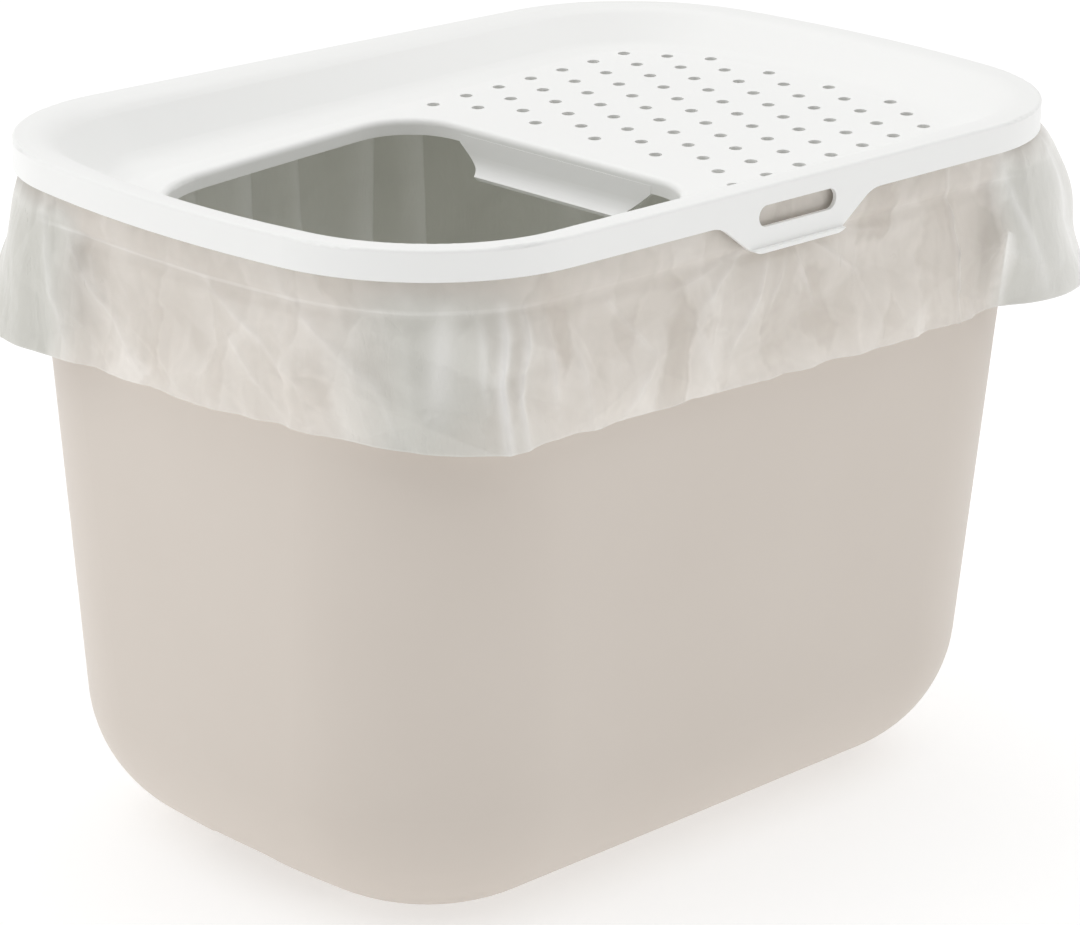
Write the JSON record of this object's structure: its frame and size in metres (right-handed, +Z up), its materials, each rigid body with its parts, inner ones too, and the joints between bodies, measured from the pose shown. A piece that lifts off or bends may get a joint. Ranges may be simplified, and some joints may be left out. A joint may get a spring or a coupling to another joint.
{
  "type": "litter_box",
  "caption": "Top-entry litter box: tapered tub, translucent bag liner folded over the rim, and a dished lid with an entry opening, drain holes and slotted carry tabs.",
  "frame": {"origin": "centre of the bounding box on the floor that the box stands on", "axes": "+X along the box, away from the entry end; +Y across it; +Z up"},
  "size_m": [0.5888, 0.401, 0.412],
  "materials": {
    "tub_plastic": "warm beige moulded plastic, fine satin",
    "liner_film": "thin frosted translucent film",
    "lid_plastic": "white moulded plastic, soft satin gloss"
  },
  "bodies": {
    "base": {"tub": "tub_plastic", "liner": "liner_film"},
    "lid": {"lid": "lid_plastic"}
  },
  "joints": [
    {"name": "lid_lift", "type": "slide", "parent": "base", "child": "lid", "axis": [0, 0, 1], "range_m": [0, 0.1]}
  ]
}
